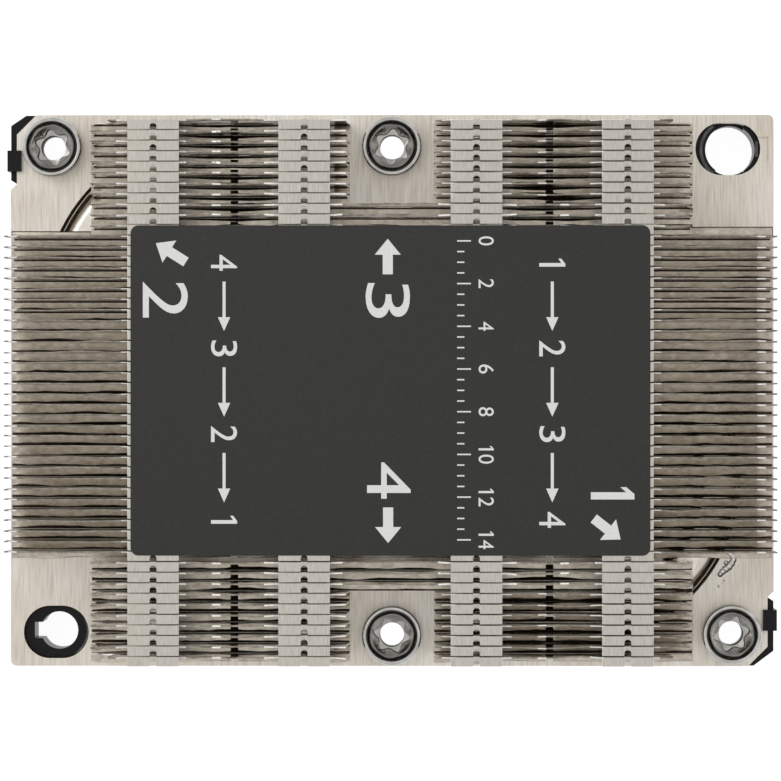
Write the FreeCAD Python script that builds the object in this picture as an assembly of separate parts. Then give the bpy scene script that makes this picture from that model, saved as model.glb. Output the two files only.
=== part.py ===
"""Passive 1U heatsink for a large server processor socket.

A nickel-plated base with two buried heat pipes carries 52 rows of folded fins that lock
together at their top tabs. Four captive nuts turn in the base, and a moulded package
carrier is clipped under it. Millimetres, +Z up, X along the fins. The origin is the
middle of the footprint, on the carrier's underside.
"""

import FreeCAD
import Part
import math
import os

V = FreeCAD.Vector

# Base plate
BASE_LENGTH = 108.0
BASE_WIDTH = 78.0
BASE_THICKNESS = 4.0
BASE_BOTTOM_Z = 4.2
BASE_TOP_Z = BASE_BOTTOM_Z + BASE_THICKNESS
CORNER_CHAMFER = 2.75
CORNER_ROUND = 0.8
LATCH_NOTCH_DEPTH = 0.85
LATCH_NOTCH_END = 29.2
PEDESTAL_LENGTH = 72.0
PEDESTAL_WIDTH = 50.0
CONTACT_Z = 2.6
SLOT_LENGTH = 9.2
SLOT_WIDTH = 7.44
SLOT_CENTRE = (47.55, 34.2)
SLOT_POCKET = (1.1, 3.4, 0.5)

# Heat pipes, flattened, in grooves open to the fins
PIPE_WIDTH = 6.4
PIPE_HEIGHT = 3.0
PIPE_BEND_RADIUS = 20.8
PIPE_BEND_CENTRE = (-25.3, 12.2)
PIPE_COLD_END_X = -9.5
PIPE_HOT_END_X = 25.0
PIPE_TIP = 2.4
PIPE_TIP_WIDTH = 2.4
GROOVE_CLEARANCE = 0.1

# Fins
SHEET = 0.25
FIN_PITCH = 1.4522
FIRST_FIN_Y = 37.24
FIN_TOP_Z = CONTACT_Z + 25.5
FULL_FIN_HALF_LENGTH = 53.6
MID_FIN_HALF_LENGTH = 42.3
NUT_GAP_HALF_WIDTH = 5.8
UPPER_SHORT_ROWS = range(0, 8)
UPPER_MID_ROWS = range(8, 11)
FULL_ROWS = range(11, 42)
LOWER_MID_ROWS = range(42, 45)
LOWER_SHORT_ROWS = range(45, 52)
FOOT_GAP = 0.4
TAB_GAP = 0.08
TAB_WIDTH = 7.1
TAB_X = (11.87, 32.7)
LOCK_WIDTH = 1.06
LOCK_START = 0.18
LOCK_LENGTH = 0.72

# Captive nuts
NUT_POSITIONS = ((48.0, -34.4), (-48.0, 34.4), (0.0, 34.5), (0.0, -34.6))
NUT_HEAD_RADIUS = 4.2
NUT_HEAD_HEIGHT = 3.2
NUT_RIM = 0.42
NUT_CONE_RADIUS = 3.1
NUT_CONE_DEPTH = 1.1
NUT_CONE_SIDES = 24
NUT_SHANK_RADIUS = 3.2
NUT_BOTTOM_Z = 2.0
NUT_BORE_RADIUS = 1.675
NUT_RUNNING_CLEARANCE = 0.08
LOBE_TIP_RADIUS = 2.76
LOBE_VALLEY_RADIUS = 2.0
LOBE_HALF_ANGLE = 8
LOBE_FLOOR_Z = 7.6
CLIP_TOP_Z = 4.1
CLIP_THICKNESS = 0.7
CLIP_SIZE = 8.2
CLIP_CORNER = 1.8

# Label
LABEL_LENGTH = 71.6
LABEL_WIDTH = 45.5
LABEL_THICKNESS = 0.15
LABEL_CORNER = 0.8

# Package carrier
FRAME_BOTTOM_Z = 1.0
FRAME_SKIRT = 1.4
WINDOW_LENGTH = 74.0
WINDOW_WIDTH = 52.0
FRAME_HALF_LENGTH = 42.0
FRAME_HALF_WIDTH = 29.0
PAD_INNER = (36.5, 23.5)
PAD_OUTER = (53.4, 38.6)
PAD_ROUND = 2.0
NUT_CLEARANCE_RADIUS = 4.9
COLLAR_TOP_Z = 6.8
COLLAR_GAP = 0.12
GUIDE_LARGE = (47.9, 34.1, 3.5)
GUIDE_SMALL = (-47.2, -34.0, 2.65)
GUIDE_SMALL_NOTCH = (3.5, 2.3)
LATCH_WALL_TOP_Z = 7.7
LATCH_Y = (31.0, 33.95)
LATCH_REACH_X = 52.45
LATCH_OUTER_X = 54.4
LATCH_HOOK_HEIGHT = 1.1


def box(x0, x1, y0, y1, z0, z1):
    return Part.makeBox(x1 - x0, y1 - y0, z1 - z0, V(x0, y0, z0))


def prism(points, z0, z1):
    """Vertical prism on a closed outline of (x, y) points."""
    corners = [V(x, y, z0) for x, y in points]
    face = Part.Face(Part.makePolygon(corners + corners[:1]))
    return face.extrude(V(0, 0, z1 - z0))


def oval(x, y, length, width, z0, z1):
    """Slot-shaped prism, long in X."""
    r = width / 2
    half = length / 2 - r
    middle = box(x - half, x + half, y - r, y + r, z0, z1)
    ends = [Part.makeCylinder(r, z1 - z0, V(x + s * half, y, z0)) for s in (-1, 1)]
    return middle.fuse(ends).removeSplitter()


def half_turn(shape):
    """The same shape turned half a turn about the vertical centre line."""
    turned = shape.copy()
    turned.rotate(V(0, 0, 0), V(0, 0, 1), 180)
    return turned


def pipe_section(x):
    """Section of the pressed-in tube, in the YZ plane at the given x, centred on y = 0."""
    half = PIPE_WIDTH / 2
    top = BASE_TOP_Z
    low = top - PIPE_HEIGHT
    corners = [V(x, y, z) for y, z in ((-half, top), (half, top), (half, low), (-half, low))]
    return Part.Face(Part.makePolygon(corners + corners[:1]))


def pipe_tip(x, y):
    """Pinched end of a pipe, flat-topped, closing from the full section."""
    w = PIPE_WIDTH / 2
    n = PIPE_TIP_WIDTH / 2
    h = PIPE_HEIGHT
    tip = Part.makeWedge(-w, 0, 0, 0, -n, w, PIPE_TIP, h, h / 2, n)
    tip.rotate(V(0, 0, 0), V(0, 0, 1), -90)
    tip.rotate(V(0, 0, 0), V(1, 0, 0), 180)
    tip.translate(V(x - PIPE_TIP, y, BASE_TOP_Z))
    return tip


def heat_pipe():
    """U-shaped pipe: the cold run under the short fins, the bend, and the hot run."""
    cx, cy = PIPE_BEND_CENTRE
    section = pipe_section(cx)
    y_cold = cy + PIPE_BEND_RADIUS
    y_hot = cy - PIPE_BEND_RADIUS
    upper = section.copy()
    upper.translate(V(0, y_cold, 0))
    lower = section.copy()
    lower.translate(V(0, y_hot, 0))
    bend = upper.revolve(V(cx, cy, 0), V(0, 0, 1), 180)
    cold = upper.extrude(V(PIPE_COLD_END_X - PIPE_TIP - cx, 0, 0))
    hot = lower.extrude(V(PIPE_HOT_END_X - PIPE_TIP - cx, 0, 0))
    tips = [pipe_tip(PIPE_COLD_END_X, y_cold), pipe_tip(PIPE_HOT_END_X, y_hot)]
    return bend.fuse([cold, hot] + tips).removeSplitter()


def pipe_groove():
    """Milled groove for the pipe, open at the top, a little wider, deeper and longer."""
    cx, cy = PIPE_BEND_CENTRE
    wide = PIPE_WIDTH / 2 + GROOVE_CLEARANCE
    low = BASE_TOP_Z - PIPE_HEIGHT - GROOVE_CLEARANCE
    high = BASE_TOP_Z + 1.0
    radius = PIPE_BEND_RADIUS
    outer = Part.makeCylinder(radius + wide, high - low, V(cx, cy, low), V(0, 0, 1), 180)
    inner = Part.makeCylinder(radius - wide, high - low, V(cx, cy, low), V(0, 0, 1), 180)
    bend = outer.cut(inner)
    bend.rotate(V(cx, cy, 0), V(0, 0, 1), 90)
    runs = []
    for y, end in ((cy + radius, PIPE_COLD_END_X), (cy - radius, PIPE_HOT_END_X)):
        runs.append(box(cx, end + GROOVE_CLEARANCE, y - wide, y + wide, low, high))
    return bend.fuse(runs).removeSplitter()


def base_plate():
    x = BASE_LENGTH / 2
    y = BASE_WIDTH / 2
    n = x - LATCH_NOTCH_DEPTH
    c = CORNER_CHAMFER
    e = LATCH_NOTCH_END
    outline = [
        (-x, -y), (n - c, -y), (n, c - y), (n, -e), (x, -e + 0.8),
        (x, y), (c - n, y), (-n, y - c), (-n, e), (-x, e - 0.8),
    ]
    plate = prism(outline, BASE_BOTTOM_Z, BASE_TOP_Z)
    corners = [
        edge for edge in plate.Edges
        if len(edge.Vertexes) == 2
        and abs(edge.Vertexes[0].Z - edge.Vertexes[1].Z) > 1
        and (edge.Vertexes[0].X - x) * (edge.Vertexes[0].X + x) > -0.01
        and abs(abs(edge.Vertexes[0].Y) - y) < 0.01
    ]
    plate = plate.makeFillet(CORNER_ROUND, corners)
    px, py = PEDESTAL_LENGTH / 2, PEDESTAL_WIDTH / 2
    pedestal = box(-px, px, -py, py, CONTACT_Z, BASE_BOTTOM_Z)
    plate = plate.fuse(pedestal).removeSplitter()
    groove = pipe_groove()
    cuts = [groove, half_turn(groove)]
    for nx, ny in NUT_POSITIONS:
        r = NUT_SHANK_RADIUS + NUT_RUNNING_CLEARANCE
        cuts.append(Part.makeCylinder(r, 2 * BASE_THICKNESS, V(nx, ny, BASE_BOTTOM_Z - 1)))
    sx, sy = SLOT_CENTRE
    for side in (-1, 1):
        slot = oval(side * sx, side * sy, SLOT_LENGTH, SLOT_WIDTH, 0, BASE_TOP_Z + 1)
        cuts.append(slot)
    reach, tall, deep = SLOT_POCKET
    edge_x = sx + SLOT_LENGTH / 2
    pocket = box(edge_x - 1, edge_x + reach, sy - tall / 2, sy + tall / 2, BASE_TOP_Z - deep, BASE_TOP_Z + 1)
    cuts.append(pocket)
    return plate.cut(cuts).removeSplitter()


def fin(row, x0, x1, locks=True):
    """One stamped fin: a plate folded to a foot along its bottom and to tabs at its top.

    Rows count from 0 at the +Y side. Foot and tabs reach to the next fin towards -Y. Each
    tab has a lock hole beside its fold; locks=False leaves it out under the label.
    """
    y = FIRST_FIN_Y - FIN_PITCH * row
    t = SHEET
    outer = y + t / 2
    inner = y - t / 2
    foot_end = outer - FIN_PITCH + FOOT_GAP
    tab_end = outer - FIN_PITCH + TAB_GAP
    low = BASE_TOP_Z
    high = FIN_TOP_Z
    fold = [
        (outer, low + t * 0.8), (outer - t * 0.8, low), (foot_end, low), (foot_end, low + t),
        (inner, low + t), (inner, high - t), (outer, high - t),
    ]
    corners = [V(x0, py, pz) for py, pz in fold]
    body = Part.Face(Part.makePolygon(corners + corners[:1])).extrude(V(x1 - x0, 0, 0))
    centres = [s * x for s in (-1, 1) for x in TAB_X if x0 < s * x < x1]
    tabs = []
    for x in centres:
        bend = [(outer, high - t), (tab_end, high - t), (tab_end, high), (inner, high)]
        corners = [V(x - TAB_WIDTH / 2, py, pz) for py, pz in bend]
        tab = Part.Face(Part.makePolygon(corners + corners[:1])).extrude(V(TAB_WIDTH, 0, 0))
        if locks:
            w = LOCK_WIDTH / 2
            y0 = inner - LOCK_START
            y1 = y0 - LOCK_LENGTH
            arch = [(x - w, y1), (x + w, y1), (x + w * 0.55, y0), (x - w * 0.55, y0)]
            tab = tab.cut(prism(arch, high - t - 0.1, high + 0.1))
        tabs.append(tab)
    return body.fuse(tabs).removeSplitter()


def fin_group(rows, x0, x1):
    return Part.makeCompound([fin(row, x0, x1) for row in rows])


def hexalobe(z0, z1):
    """Six-lobed driver recess, its lobes cut square."""
    points = []
    for i in range(6):
        lobe = 60 * i
        corners = [(LOBE_TIP_RADIUS, lobe - LOBE_HALF_ANGLE), (LOBE_TIP_RADIUS, lobe + LOBE_HALF_ANGLE)]
        corners += [(LOBE_VALLEY_RADIUS, lobe + 24), (LOBE_VALLEY_RADIUS, lobe + 36)]
        points += [(r * math.cos(math.radians(a)), r * math.sin(math.radians(a))) for r, a in corners]
    return prism(points, z0, z1)


def funnel(r0, r1, z0, z1, sides):
    """Faceted cone on the Z axis, r0 at z0 and r1 at z1."""
    def ring(r, z):
        turns = [math.radians(360 * i / sides) for i in range(sides)]
        return [V(r * math.cos(a), r * math.sin(a), z) for a in turns]
    low, high = ring(r0, z0), ring(r1, z1)
    faces = [Part.Face(Part.makePolygon(loop + loop[:1])) for loop in (low, high)]
    for i in range(sides):
        k = (i + 1) % sides
        loop = [low[i], low[k], high[k], high[i]]
        faces.append(Part.Face(Part.makePolygon(loop + loop[:1])))
    return Part.Solid(Part.Shell(faces))


def captive_nut(x, y):
    top = BASE_TOP_Z + NUT_HEAD_HEIGHT
    head = NUT_HEAD_RADIUS
    shank = NUT_SHANK_RADIUS
    ledge = top - NUT_CONE_DEPTH
    profile = [
        (NUT_BORE_RADIUS, NUT_BOTTOM_Z), (shank, NUT_BOTTOM_Z), (shank, BASE_TOP_Z),
        (head, BASE_TOP_Z), (head, top), (NUT_BORE_RADIUS, top),
    ]
    corners = [V(r, 0, z) for r, z in profile]
    nut = Part.Face(Part.makePolygon(corners + corners[:1])).revolve(V(0, 0, 0), V(0, 0, 1), 360)
    cone = funnel(NUT_CONE_RADIUS, head - NUT_RIM, ledge, top, NUT_CONE_SIDES)
    nut = nut.cut([cone, hexalobe(LOBE_FLOOR_Z, top)])
    nut.translate(V(x, y, 0))
    return nut


def retaining_clip(x, y):
    """Flat spring clip pushed onto the nut's shank from the side, under the base."""
    r = NUT_SHANK_RADIUS
    half = CLIP_SIZE / 2
    low = CLIP_TOP_Z - CLIP_THICKNESS
    cut = CLIP_CORNER
    side = half - cut
    outline = [
        (-half, -side), (-side, -half), (side, -half), (half, -side),
        (half, side), (side, half), (-side, half), (-half, side),
    ]
    plate = prism(outline, low, CLIP_TOP_Z)
    plate = plate.cut(Part.makeCylinder(r, CLIP_THICKNESS, V(0, 0, low)))
    mouth = box(0, half, -r, r, low, CLIP_TOP_Z)
    clip = plate.cut(mouth).removeSplitter()
    clip.translate(V(x, y, 0))
    return clip


def label():
    x, y, c = LABEL_LENGTH / 2, LABEL_WIDTH / 2, LABEL_CORNER
    outline = [
        (c - x, -y), (x - c, -y), (x, c - y), (x, y - c),
        (x - c, y), (c - x, y), (-x, y - c), (-x, c - y),
    ]
    return prism(outline, FIN_TOP_Z, FIN_TOP_Z + LABEL_THICKNESS)


def carrier_pad(sx, sy):
    """Full-depth corner of the carrier, joined to its frame."""
    (x0, y0), (x1, y1) = PAD_INNER, PAD_OUTER
    r = PAD_ROUND
    points = [(x0, y0), (x1, y0), (x1, y1 - r), (x1 - r, y1), (x0, y1)]
    if sx * sy < 0:
        points[2:4] = [(x1, y1 - r - 0.6), (x1 - r - 0.6, y1)]
    return prism([(sx * px, sy * py) for px, py in points], 0, BASE_BOTTOM_Z)


def latch(side):
    """Wall that wraps the chamfered corner, with the hook that grips the base's top."""
    n = BASE_LENGTH / 2 - LATCH_NOTCH_DEPTH + 0.05
    top_y = BASE_WIDTH / 2 - 0.05
    c = CORNER_CHAMFER - 0.1
    out = BASE_LENGTH / 2
    thick = 1.3 if side < 0 else 0.65
    wall = [
        (n, LATCH_NOTCH_END + 0.1), (n, top_y - c), (n - c, top_y),
        (n - c + thick, top_y), (out, top_y - c + thick - 0.1), (out, LATCH_NOTCH_END + 0.6),
    ]
    y0, y1 = LATCH_Y
    skirt = prism(wall, 0, LATCH_WALL_TOP_Z)
    stem = box(n, LATCH_OUTER_X, y0, y1, 0, BASE_TOP_Z + LATCH_HOOK_HEIGHT)
    hook = box(LATCH_REACH_X, LATCH_OUTER_X, y0, y1, BASE_TOP_Z, BASE_TOP_Z + LATCH_HOOK_HEIGHT)
    bridge = box(PAD_OUTER[0] - 1, LATCH_OUTER_X, y0, y1, 0, BASE_BOTTOM_Z)
    corner = skirt.fuse([stem, hook, bridge])
    corner = corner.mirror(V(0, 0, 0), V(0, 1, 0))
    return corner if side > 0 else half_turn(corner)


def guide_collars():
    """Raised rims that centre the base's two slots on the socket's guide posts."""
    gap = 2 * COLLAR_GAP
    sx, sy = SLOT_CENTRE
    large = oval(sx, sy, SLOT_LENGTH - gap, SLOT_WIDTH - gap, 0, COLLAR_TOP_Z)
    open_middle = box(sx - 1.7, sx + 2.3, sy - 5, sy + 5, BASE_BOTTOM_Z, COLLAR_TOP_Z)
    small = oval(-sx, -sy, SLOT_LENGTH - gap, SLOT_WIDTH - gap, 0, COLLAR_TOP_Z)
    return [large.cut(open_middle), small]


def package_carrier():
    fx, fy = FRAME_HALF_LENGTH, FRAME_HALF_WIDTH
    wx, wy = WINDOW_LENGTH / 2, WINDOW_WIDTH / 2
    s = FRAME_SKIRT
    solid = box(-fx, fx, -fy, fy, FRAME_BOTTOM_Z, BASE_BOTTOM_Z)
    solid = solid.fuse(box(-wx - s, wx + s, -wy - s, wy + s, 0, FRAME_BOTTOM_Z))
    pads = [carrier_pad(sx, sy) for sx in (-1, 1) for sy in (-1, 1)]
    solid = solid.fuse(pads + [latch(-1), latch(1)] + guide_collars())
    cuts = [box(-wx, wx, -wy, wy, -1, BASE_BOTTOM_Z + 1)]
    for nx, ny in NUT_POSITIONS[:2]:
        cuts.append(Part.makeCylinder(NUT_CLEARANCE_RADIUS, BASE_BOTTOM_Z + 1, V(nx, ny, -1)))
    for gx, gy, r in (GUIDE_LARGE, GUIDE_SMALL):
        cuts.append(Part.makeCylinder(r, COLLAR_TOP_Z + 2, V(gx, gy, -1)))
    gx, gy, r = GUIDE_SMALL
    reach, tall = GUIDE_SMALL_NOTCH
    cuts.append(box(gx - reach, gx, gy - tall / 2, gy + tall / 2, -1, COLLAR_TOP_Z + 1))
    return solid.cut(cuts).removeSplitter()


def save(name, shape):
    shape.exportStep("parts/" + name + ".step")
    print(name, len(shape.Solids), round(shape.Volume, 2), shape.isValid())


os.makedirs("parts", exist_ok=True)

save("base_plate", base_plate())
pipe = heat_pipe()
save("heat_pipe_left", pipe)
save("heat_pipe_right", half_turn(pipe))

gap, mid, full = NUT_GAP_HALF_WIDTH, MID_FIN_HALF_LENGTH, FULL_FIN_HALF_LENGTH
save("fins_upper_left", fin_group(UPPER_SHORT_ROWS, -mid, -gap))
save("fins_upper_right", fin_group(UPPER_SHORT_ROWS, gap, mid))
save("fins_lower_left", fin_group(LOWER_SHORT_ROWS, -mid, -gap))
save("fins_lower_right", fin_group(LOWER_SHORT_ROWS, gap, mid))
for row in list(UPPER_MID_ROWS) + list(LOWER_MID_ROWS):
    save("fin_row_%02d" % row, fin(row, -mid, mid))
for row in FULL_ROWS:
    save("fin_row_%02d" % row, fin(row, -full, full, locks=False))

for number, (x, y) in enumerate(NUT_POSITIONS, 1):
    save("captive_nut_%d" % number, captive_nut(x, y))
    save("retaining_clip_%d" % number, retaining_clip(x, y))

save("label", label())
save("package_carrier", package_carrier())
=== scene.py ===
# %% [markdown]
# # A passive heatsink for a server's processor
# This lesson dresses a CAD model. The heatsink is a plated base, a stack of thin folded fins, two
# heat pipes, four captive nuts, a label and a plastic carrier. Blender adds what CAD leaves plain: the tongues
# and lock holes of the fins, their small waves, the print, the thread, and every finish.

# %% Load the CAD frame
import math

import bpy
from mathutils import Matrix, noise


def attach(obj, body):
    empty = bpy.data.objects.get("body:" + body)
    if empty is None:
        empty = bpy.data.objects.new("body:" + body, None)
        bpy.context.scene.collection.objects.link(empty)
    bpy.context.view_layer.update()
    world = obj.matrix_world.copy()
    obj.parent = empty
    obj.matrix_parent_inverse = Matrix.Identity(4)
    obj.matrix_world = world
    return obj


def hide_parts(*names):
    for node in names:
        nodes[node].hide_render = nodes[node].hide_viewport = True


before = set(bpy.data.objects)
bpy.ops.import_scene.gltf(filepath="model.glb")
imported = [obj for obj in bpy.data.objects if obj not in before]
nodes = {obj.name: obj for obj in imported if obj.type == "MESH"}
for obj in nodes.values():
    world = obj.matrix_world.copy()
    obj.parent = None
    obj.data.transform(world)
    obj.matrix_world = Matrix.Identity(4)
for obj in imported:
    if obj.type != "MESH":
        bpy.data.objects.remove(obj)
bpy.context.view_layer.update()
scene = bpy.context.scene
MM = 0.001

# %% [markdown]
# ## Colours and shader nodes
# Colours are picked as sRGB hex values, as any paint tool shows them, but a shader counts in linear light. One
# function turns them. A second one adds a node to a material with its settings, colour stops and links, so that
# each finish below reads as a short list of what it is made of.

# %% Colour and node helpers
def linear(code):
    parts = [int(code[i:i + 2], 16) / 255 for i in (0, 2, 4)]
    return [c / 12.92 if c <= 0.04045 else ((c + 0.055) / 1.055) ** 2.4 for c in parts] + [1.0]


def add(tree, kind, sockets=None, stops=(), to=None, **settings):
    """Adds a node. Sockets are linked or set, stops fill its colour ramp, and its first output is linked to `to`."""
    made = tree.nodes.new(kind)
    for name, value in settings.items():
        setattr(made, name, value)
    for name, value in (sockets or {}).items():
        if isinstance(value, bpy.types.NodeSocket):
            tree.links.new(value, made.inputs[name])
        else:
            made.inputs[name].default_value = value
    if stops:
        colours = made.color_ramp.elements
        while len(colours) < len(stops):
            colours.new(0.5)
        for element, (place, code) in zip(colours, stops):
            element.position = place
            element.color = linear(code)
    if to is not None:
        tree.links.new(made.outputs[0], to)
    return made


def finish(name, **surface):
    """A new material with its shader's own sockets set. Returns it, its tree and its shader."""
    material = bpy.data.materials.new(name)
    material.use_nodes = True
    tree = material.node_tree
    shader = tree.nodes["Principled BSDF"]
    for socket, value in surface.items():
        shader.inputs[socket.replace("_", " ")].default_value = value
    return material, tree, shader


def stretched_noise(tree, size, detail=3.0, shift=(0, 0, 0)):
    """Noise whose blobs have the given real size in millimetres along X, Y and Z."""
    place = add(tree, "ShaderNodeTexCoord").outputs["Object"]
    scale = [1 / (s * MM) for s in size]
    moved = add(tree, "ShaderNodeMapping", {"Vector": place, "Scale": scale, "Location": shift})
    return add(tree, "ShaderNodeTexNoise", {"Vector": moved.outputs[0], "Scale": 1.0, "Detail": detail})


print("helpers ready")

# %% [markdown]
# ## Brushed nickel for the base
# The base is aluminium, brushed along its short side and then nickel plated. Brushing leaves fine grooves, about
# 0.1 mm apart, so the shine is stretched and streaky. They are drawn at 0.3 mm so that they show. Plating adds a
# warm tint that shifts slowly from place to place.

# %% Brushed nickel
brushed_nickel, tree, shader = finish("brushed nickel plate", Metallic=1.0, Roughness=0.43)
streaks = stretched_noise(tree, (0.3, 5.0, 2.0), detail=4.0)
patches = stretched_noise(tree, (9.0, 14.0, 9.0), detail=2.0)
streak_colour = add(tree, "ShaderNodeValToRGB", {"Fac": streaks.outputs[0]},
                    stops=((0.28, "DCD6CD"), (0.5, "EFEAE2"), (0.72, "F9F6F0")))
patch_colour = add(tree, "ShaderNodeValToRGB", {"Fac": patches.outputs[0]},
                   stops=((0.35, "E6DED2"), (0.62, "FFFEFB")))
colour = add(tree, "ShaderNodeMix", {0: 0.55, 6: streak_colour.outputs[0], 7: patch_colour.outputs[0]},
             data_type="RGBA", blend_type="MULTIPLY")
tree.links.new(colour.outputs[2], shader.inputs["Base Color"])
add(tree, "ShaderNodeBump", {"Height": streaks.outputs[0], "Distance": 0.03 * MM, "Strength": 1.0},
    to=shader.inputs["Normal"])
print("made", brushed_nickel.name)

# %% [markdown]
# ## Plated fin sheet
# The fins are rolled aluminium sheet, 0.25 mm thick in the CAD and 0.22 mm here, which leaves room for the waves.
# It is stamped and then plated with the base. Rolling leaves it smoother than the base, with a faint grain along
# the strip and tiny dull spots from the plating bath. The tabs are struck flat by the press last of all, so their
# tops are a little duller. The feet are darker and browner: partly the dulling of the solder oven's heat, partly
# painted shade at the bottom of the narrow channels.

# %% Fin sheet
fin_sheet, tree, shader = finish("plated fin sheet", Metallic=1.0, Roughness=0.07)
grain = stretched_noise(tree, (0.35, 2.2, 1.2), detail=3.0)
spots = stretched_noise(tree, (0.8, 0.8, 0.8), detail=2.0, shift=(3, 5, 7))
grain_colour = add(tree, "ShaderNodeValToRGB", {"Fac": grain.outputs[0]},
                   stops=((0.3, "E9E6E2"), (0.55, "F2F0ED"), (0.75, "FAF9F7")))
spot_colour = add(tree, "ShaderNodeValToRGB", {"Fac": spots.outputs[0]},
                  stops=((0.34, "EDEAE5"), (0.5, "FFFFFF")))
colour = add(tree, "ShaderNodeMix", {0: 0.5, 6: grain_colour.outputs[0], 7: spot_colour.outputs[0]},
             data_type="RGBA", blend_type="MULTIPLY")
tree.links.new(colour.outputs[2], shader.inputs["Base Color"])
add(tree, "ShaderNodeBump", {"Height": grain.outputs[0], "Distance": 0.0012 * MM, "Strength": 1.0},
    to=shader.inputs["Normal"])

tab_sheet, tree, shader = finish("flattened tab sheet", Metallic=1.0, Roughness=0.36)
rolled = stretched_noise(tree, (0.16, 1.6, 1.0), detail=3.0, shift=(2, 9, 4))
add(tree, "ShaderNodeValToRGB", {"Fac": rolled.outputs[0]}, to=shader.inputs["Base Color"],
    stops=((0.3, "C0BCB4"), (0.7, "D6D2CA")))
add(tree, "ShaderNodeBump", {"Height": rolled.outputs[0], "Distance": 0.004 * MM, "Strength": 1.0},
    to=shader.inputs["Normal"])

# Darker, browner sheet for the feet: partly heat dulling, partly painted shade deep in the channels.
foot_sheet_and_shade, tree, shader = finish("heat-dulled foot sheet and painted shade", Metallic=1.0, Roughness=0.27)
haze = stretched_noise(tree, (1.1, 0.7, 1.0), detail=4.0, shift=(6, 1, 8))
add(tree, "ShaderNodeValToRGB", {"Fac": haze.outputs[0]}, to=shader.inputs["Base Color"],
    stops=((0.3, "B4AC9F"), (0.7, "D4CCC0")))
add(tree, "ShaderNodeBump", {"Height": haze.outputs[0], "Distance": 0.006 * MM, "Strength": 1.0},
    to=shader.inputs["Normal"])
print("made", fin_sheet.name, tab_sheet.name, foot_sheet_and_shade.name, sep=", ")

# %% [markdown]
# Where the press has cut the sheet, its edge is torn metal: rough, darker, and uneven over about a millimetre. The
# darker colour is partly painted shade. Beside a bend the edge is drawn out smooth, and there, by a foot lock and
# near a long fin's ends it keeps the bright sheet as painted glints.

# %% Sheared edge and painted shade
sheared_edge_and_shade, tree, shader = finish("sheared sheet edge and painted shade", Metallic=1.0, Roughness=0.5)
tears = stretched_noise(tree, (0.9, 1.4, 1.0), detail=4.0, shift=(1, 2, 3))
add(tree, "ShaderNodeValToRGB", {"Fac": tears.outputs[0]}, to=shader.inputs["Base Color"],
    stops=((0.3, "857D72"), (0.7, "B8B1A6")))
print("made", sheared_edge_and_shade.name)

# %% [markdown]
# The feet are soldered to the base with a flux. A dark brown crust material stands for painted shade: it lies in
# every slit between a foot and the next plate, in the corner behind each foot, along the grooves and around the
# foot strips. Only under the spilled solder is it partly a real flux stain.

# %% Baked flux and painted shade
# A dark crust colour: painted shade in slits, corners and gaps, and partly a flux stain under the solder.
flux_and_painted_shade, tree, shader = finish("baked flux crust", Roughness=0.8, IOR=1.5, Specular_IOR_Level=0.1)
crust = stretched_noise(tree, (0.5, 0.5, 0.5), detail=3.0)
add(tree, "ShaderNodeValToRGB", {"Fac": crust.outputs[0]}, to=shader.inputs["Base Color"],
    stops=((0.3, "3A3025"), (0.7, "5C4E40")))
print("made", flux_and_painted_shade.name)

# %% [markdown]
# ## Turned steel, spring steel, pipe metal and solder
# The nuts are turned and nickel plated, so they are the brightest metal, with fine rings from the lathe. The
# clips are dark spring steel. The heat pipes are copper under the same plating as the base, drawn smooth. Solder
# that ran out of a joint is almost a mirror.

# %% Small metals
turned_nickel, tree, shader = finish("turned nickel plate", Metallic=1.0, Roughness=0.16)
rings = stretched_noise(tree, (1.6, 1.6, 0.3), detail=2.0)
add(tree, "ShaderNodeValToRGB", {"Fac": rings.outputs[0]}, to=shader.inputs["Base Color"],
    stops=((0.3, "AEADAA"), (0.7, "CBCAC7")))

spring_steel, tree, shader = finish("dark spring steel", Metallic=1.0, Roughness=0.42)
scale_marks = stretched_noise(tree, (0.6, 0.6, 0.6))
add(tree, "ShaderNodeValToRGB", {"Fac": scale_marks.outputs[0]}, to=shader.inputs["Base Color"],
    stops=((0.3, "55534F"), (0.7, "7C7A75")))

pipe_metal, tree, shader = finish("drawn plated pipe", Metallic=1.0, Roughness=0.24)
drawn = stretched_noise(tree, (1.2, 1.2, 0.4), detail=3.0)
add(tree, "ShaderNodeValToRGB", {"Fac": drawn.outputs[0]}, to=shader.inputs["Base Color"],
    stops=((0.3, "DCD5CA"), (0.7, "F1ECE4")))
add(tree, "ShaderNodeBump", {"Height": drawn.outputs[0], "Distance": 0.003 * MM, "Strength": 1.0},
    to=shader.inputs["Normal"])

solder, tree, shader = finish("spilled solder", Metallic=1.0, Roughness=0.1)
skin = stretched_noise(tree, (0.5, 0.5, 0.5))
add(tree, "ShaderNodeValToRGB", {"Fac": skin.outputs[0]}, to=shader.inputs["Base Color"],
    stops=((0.3, "CFCDCB"), (0.7, "F2F1EF")))
print("made", turned_nickel.name, spring_steel.name, pipe_metal.name, solder.name, sep=", ")

# %% [markdown]
# ## Label film, print and black plastic
# The label is matte charcoal film with white ink. The carrier is moulded from a black engineering plastic, with a
# fine spark-eroded grain, about 0.2 mm, on its faces. Its rims and stop get a lighter, glossier grey, a painted
# highlight.

# %% Film, ink and plastic
label_film, tree, shader = finish("matte charcoal film", Roughness=0.62, IOR=1.48, Specular_IOR_Level=0.3)
fibre = stretched_noise(tree, (0.35, 0.35, 0.35), detail=3.0)
add(tree, "ShaderNodeValToRGB", {"Fac": fibre.outputs[0]}, to=shader.inputs["Base Color"],
    stops=((0.3, "373736"), (0.7, "3D3D3C")))
add(tree, "ShaderNodeBump", {"Height": fibre.outputs[0], "Distance": 0.01 * MM, "Strength": 1.0},
    to=shader.inputs["Normal"])

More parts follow.
